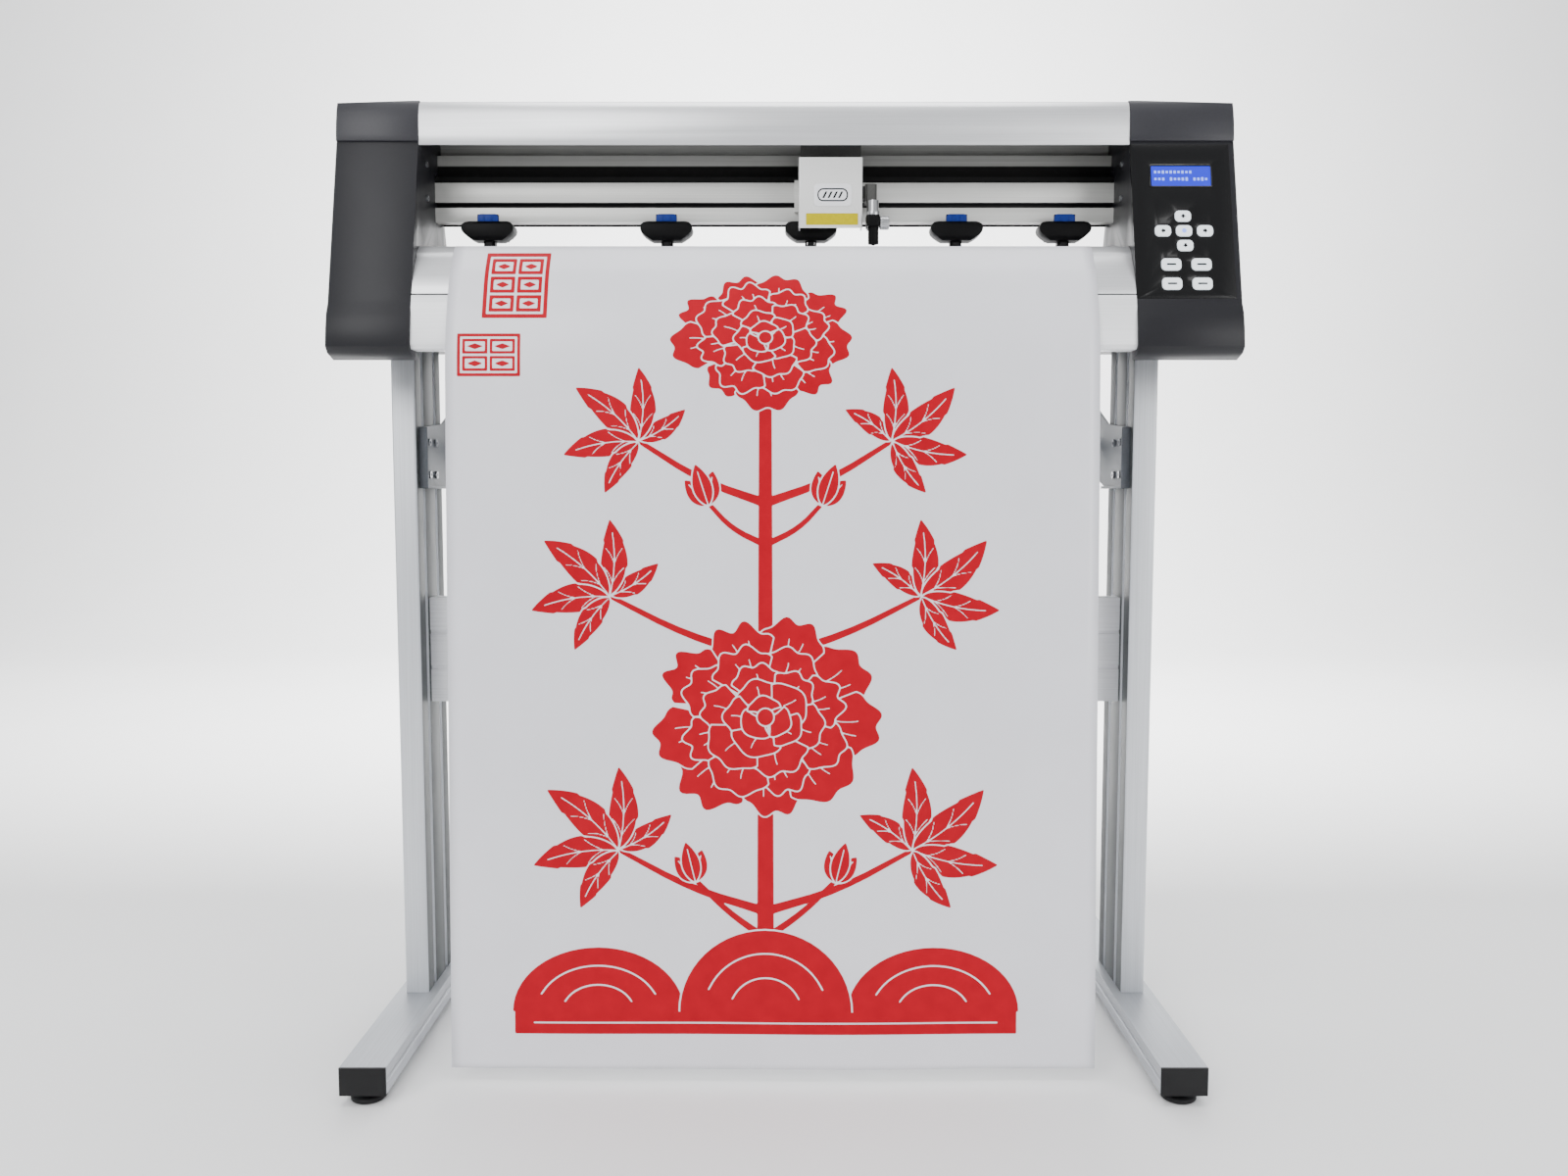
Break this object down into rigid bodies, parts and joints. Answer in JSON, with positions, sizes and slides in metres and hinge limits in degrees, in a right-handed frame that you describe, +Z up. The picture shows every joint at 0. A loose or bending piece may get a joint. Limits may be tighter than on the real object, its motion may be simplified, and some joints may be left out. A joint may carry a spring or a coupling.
{
  "type": "vinyl cutter",
  "caption": "Floor-standing vinyl cutter: a blade carriage travels a beam over a platen while pinch rollers and a driven shaft feed the film, on a two-post stand.",
  "frame": {"origin": "on the floor, at the centre of the bounding box's base", "axes": "+X to the operator's right, +Y to the rear, +Z up; the control face and hanging film face -Y"},
  "size_m": [0.9, 0.442, 0.976],
  "materials": {
    "cover": "satin",
    "silver": "satin anodised",
    "stand": "satin silver",
    "blackplastic": "satin",
    "chassis": "satin",
    "steel": "zinc plated",
    "panel": "gloss",
    "window": "clear tinted",
    "key": "translucent",
    "film": "satin film",
    "board": "solder mask",
    "motor": "satin",
    "belt": "matt",
    "carriagecover": "satin",
    "wheelrubber": "matt"
  },
  "bodies": {
    "machine_frame": {"foot_beams": "stand", "foot_end_caps": "blackplastic", "posts": "stand", "crossbar": "stand", "roll_brackets": "chassis", "left_side_cover": "cover", "right_side_cover": "cover", "top_cover": "silver", "base_chassis": "chassis", "platen": "silver", "front_apron": "silver", "carriage_beam": "silver", "back_cover": "chassis", "control_panel": "panel", "display_window": "window", "vinyl_sheet": "film", "main_board": "board", "power_inlet": "blackplastic", "stepper_motors": "motor", "drive_belt": "belt", "fasteners": "steel"},
    "carriage": {"carriage_block": "silver", "carriage_cover": "carriagecover"},
    "tool": {"blade_holder": "blackplastic", "tool_clamp": "blackplastic"},
    "knob": {"clamp_knob": "steel"},
    "drive_pulley": {"belt_drive_pulley": "silver"},
    "idler_pulley": {"belt_idler_pulley": "silver"},
    "feed_shaft": {"grit_shaft": "steel"},
    "rocker": {"rocker_switch": "blackplastic"},
    "rod_front": {"roll_rod_front": "steel"},
    "rod_rear": {"roll_rod_rear": "steel"},
    "foot_fl": {"levelling_foot_fl": "blackplastic"},
    "foot_fr": {"levelling_foot_fr": "blackplastic"},
    "foot_rl": {"levelling_foot_rl": "blackplastic"},
    "foot_rr": {"levelling_foot_rr": "blackplastic"},
    "key_up_cap": {"key_up": "key"},
    "key_left_cap": {"key_left": "key"},
    "key_enter_cap": {"key_enter": "key"},
    "key_right_cap": {"key_right": "key"},
    "key_down_cap": {"key_down": "key"},
    "key_wide_1_cap": {"key_wide_1": "key"},
    "key_wide_2_cap": {"key_wide_2": "key"},
    "key_wide_3_cap": {"key_wide_3": "key"},
    "key_wide_4_cap": {"key_wide_4": "key"},
    "station_1": {"pinch_bracket_1": "blackplastic"},
    "arm_1": {"pinch_arm_1": "blackplastic"},
    "wheel_1": {"pinch_wheel_1": "wheelrubber"},
    "station_2": {"pinch_bracket_2": "blackplastic"},
    "arm_2": {"pinch_arm_2": "blackplastic"},
    "wheel_2": {"pinch_wheel_2": "wheelrubber"},
    "station_3": {"pinch_bracket_3": "blackplastic"},
    "arm_3": {"pinch_arm_3": "blackplastic"},
    "wheel_3": {"pinch_wheel_3": "wheelrubber"},
    "station_4": {"pinch_bracket_4": "blackplastic"},
    "arm_4": {"pinch_arm_4": "blackplastic"},
    "wheel_4": {"pinch_wheel_4": "wheelrubber"},
    "station_5": {"pinch_bracket_5": "blackplastic"},
    "arm_5": {"pinch_arm_5": "blackplastic"},
    "wheel_5": {"pinch_wheel_5": "wheelrubber"}
  },
  "joints": [
    {"name": "carriage_slide", "type": "slide", "parent": "machine_frame", "child": "carriage", "axis": [1, 0, 0], "range_m": [-0.365, 0.225]},
    {"name": "tool_lift", "type": "slide", "parent": "carriage", "child": "tool", "axis": [0, 0, 1], "range_m": [-0.002, 0], "stiffness_N_per_m": 400, "springref_m": 0.003},
    {"name": "knob_turn", "type": "hinge", "parent": "tool", "child": "knob", "pos_m": [0.1, -0.077, 0.8555], "axis": [1, 0, 0], "range_deg": [0, 360]},
    {"name": "drive_pulley_spin", "type": "hinge", "parent": "machine_frame", "child": "drive_pulley", "pos_m": [0.374, -0.019, 0.912], "axis": [0, 0, 1], "range_deg": [-3000, 1860]},
    {"name": "idler_pulley_spin", "type": "hinge", "parent": "machine_frame", "child": "idler_pulley", "pos_m": [-0.396, -0.019, 0.912], "axis": [0, 0, 1], "range_deg": [-3000, 1860]},
    {"name": "feed_shaft_spin", "type": "hinge", "parent": "machine_frame", "child": "feed_shaft", "pos_m": [0, -0.042, 0.8189], "axis": [1, 0, 0], "continuous": true},
    {"name": "power_rocker", "type": "hinge", "parent": "machine_frame", "child": "rocker", "pos_m": [0.378, 0.083, 0.7665], "axis": [1, 0, 0], "range_deg": [-18, 0]},
    {"name": "rod_front_spin", "type": "hinge", "parent": "machine_frame", "child": "rod_front", "pos_m": [-0.011, 0.12, 0.64], "axis": [1, 0, 0], "continuous": true},
    {"name": "rod_rear_spin", "type": "hinge", "parent": "machine_frame", "child": "rod_rear", "pos_m": [-0.011, 0.185, 0.64], "axis": [1, 0, 0], "continuous": true},
    {"name": "foot_fl_screw", "type": "slide", "parent": "machine_frame", "child": "foot_fl", "axis": [0, 0, 1], "range_m": [-0.012, 0]},
    {"name": "foot_fr_screw", "type": "slide", "parent": "machine_frame", "child": "foot_fr", "axis": [0, 0, 1], "range_m": [-0.012, 0]},
    {"name": "foot_rl_screw", "type": "slide", "parent": "machine_frame", "child": "foot_rl", "axis": [0, 0, 1], "range_m": [-0.012, 0]},
    {"name": "foot_rr_screw", "type": "slide", "parent": "machine_frame", "child": "foot_rr", "axis": [0, 0, 1], "range_m": [-0.012, 0]},
    {"name": "key_up_press", "type": "slide", "parent": "machine_frame", "child": "key_up_cap", "axis": [0, 0.9766, -0.215], "range_m": [0, 0.0006], "stiffness_N_per_m": 400, "springref_m": -0.0005},
    {"name": "key_left_press", "type": "slide", "parent": "machine_frame", "child": "key_left_cap", "axis": [0, 0.9766, -0.215], "range_m": [0, 0.0006], "stiffness_N_per_m": 400, "springref_m": -0.0005},
    {"name": "key_enter_press", "type": "slide", "parent": "machine_frame", "child": "key_enter_cap", "axis": [0, 0.9766, -0.215], "range_m": [0, 0.0006], "stiffness_N_per_m": 400, "springref_m": -0.0005},
    {"name": "key_right_press", "type": "slide", "parent": "machine_frame", "child": "key_right_cap", "axis": [0, 0.9766, -0.215], "range_m": [0, 0.0006], "stiffness_N_per_m": 400, "springref_m": -0.0005},
    {"name": "key_down_press", "type": "slide", "parent": "machine_frame", "child": "key_down_cap", "axis": [0, 0.9766, -0.215], "range_m": [0, 0.0006], "stiffness_N_per_m": 400, "springref_m": -0.0005},
    {"name": "key_wide_1_press", "type": "slide", "parent": "machine_frame", "child": "key_wide_1_cap", "axis": [0, 0.9766, -0.215], "range_m": [0, 0.0006], "stiffness_N_per_m": 400, "springref_m": -0.0005},
    {"name": "key_wide_2_press", "type": "slide", "parent": "machine_frame", "child": "key_wide_2_cap", "axis": [0, 0.9766, -0.215], "range_m": [0, 0.0006], "stiffness_N_per_m": 400, "springref_m": -0.0005},
    {"name": "key_wide_3_press", "type": "slide", "parent": "machine_frame", "child": "key_wide_3_cap", "axis": [0, 0.9766, -0.215], "range_m": [0, 0.0006], "stiffness_N_per_m": 400, "springref_m": -0.0005},
    {"name": "key_wide_4_press", "type": "slide", "parent": "machine_frame", "child": "key_wide_4_cap", "axis": [0, 0.9766, -0.215], "range_m": [0, 0.0006], "stiffness_N_per_m": 400, "springref_m": -0.0005},
    {"name": "station_1_slide", "type": "slide", "parent": "machine_frame", "child": "station_1", "axis": [1, 0, 0], "range_m": [-0.028, 0.06]},
    {"name": "arm_1_lift", "type": "hinge", "parent": "station_1", "child": "arm_1", "pos_m": [-0.308, -0.016, 0.856], "axis": [-1, 0, 0], "range_deg": [0, 11], "stiffness_Nm_per_rad": 0.4, "springref_deg": -17.19},
    {"name": "wheel_1_spin", "type": "hinge", "parent": "arm_1", "child": "wheel_1", "pos_m": [-0.308, -0.042, 0.839], "axis": [1, 0, 0], "continuous": true},
    {"name": "station_2_slide", "type": "slide", "parent": "machine_frame", "child": "station_2", "axis": [1, 0, 0], "range_m": [-0.06, 0.042]},
    {"name": "arm_2_lift", "type": "hinge", "parent": "station_2", "child": "arm_2", "pos_m": [-0.123, -0.016, 0.856], "axis": [-1, 0, 0], "range_deg": [0, 11], "stiffness_Nm_per_rad": 0.4, "springref_deg": -17.19},
    {"name": "wheel_2_spin", "type": "hinge", "parent": "arm_2", "child": "wheel_2", "pos_m": [-0.123, -0.042, 0.839], "axis": [1, 0, 0], "continuous": true},
    {"name": "station_3_slide", "type": "slide", "parent": "machine_frame", "child": "station_3", "axis": [1, 0, 0], "range_m": [-0.042, 0.042]},
    {"name": "arm_3_lift", "type": "hinge", "parent": "station_3", "child": "arm_3", "pos_m": [0.027, -0.016, 0.856], "axis": [-1, 0, 0], "range_deg": [0, 11], "stiffness_Nm_per_rad": 0.4, "springref_deg": -17.19},
    {"name": "wheel_3_spin", "type": "hinge", "parent": "arm_3", "child": "wheel_3", "pos_m": [0.027, -0.042, 0.839], "axis": [1, 0, 0], "continuous": true},
    {"name": "station_4_slide", "type": "slide", "parent": "machine_frame", "child": "station_4", "axis": [1, 0, 0], "range_m": [-0.042, 0.022]},
    {"name": "arm_4_lift", "type": "hinge", "parent": "station_4", "child": "arm_4", "pos_m": [0.178, -0.016, 0.856], "axis": [-1, 0, 0], "range_deg": [0, 11], "stiffness_Nm_per_rad": 0.4, "springref_deg": -17.19},
    {"name": "wheel_4_spin", "type": "hinge", "parent": "arm_4", "child": "wheel_4", "pos_m": [0.178, -0.042, 0.839], "axis": [1, 0, 0], "continuous": true},
    {"name": "station_5_slide", "type": "slide", "parent": "machine_frame", "child": "station_5", "axis": [1, 0, 0], "range_m": [-0.022, 0.025]},
    {"name": "arm_5_lift", "type": "hinge", "parent": "station_5", "child": "arm_5", "pos_m": [0.29, -0.016, 0.856], "axis": [-1, 0, 0], "range_deg": [0, 11], "stiffness_Nm_per_rad": 0.4, "springref_deg": -17.19},
    {"name": "wheel_5_spin", "type": "hinge", "parent": "arm_5", "child": "wheel_5", "pos_m": [0.29, -0.042, 0.839], "axis": [1, 0, 0], "continuous": true}
  ],
  "couplings": [
    {"joint": "drive_pulley_spin", "follows": "carriage_slide", "rad_per_m": 142.86},
    {"joint": "idler_pulley_spin", "follows": "carriage_slide", "rad_per_m": 142.86},
    {"joint": "wheel_1_spin", "follows": "feed_shaft_spin", "ratio": -1.3875},
    {"joint": "wheel_2_spin", "follows": "feed_shaft_spin", "ratio": -1.3875},
    {"joint": "wheel_3_spin", "follows": "feed_shaft_spin", "ratio": -1.3875},
    {"joint": "wheel_4_spin", "follows": "feed_shaft_spin", "ratio": -1.3875},
    {"joint": "wheel_5_spin", "follows": "feed_shaft_spin", "ratio": -1.3875}
  ]
}
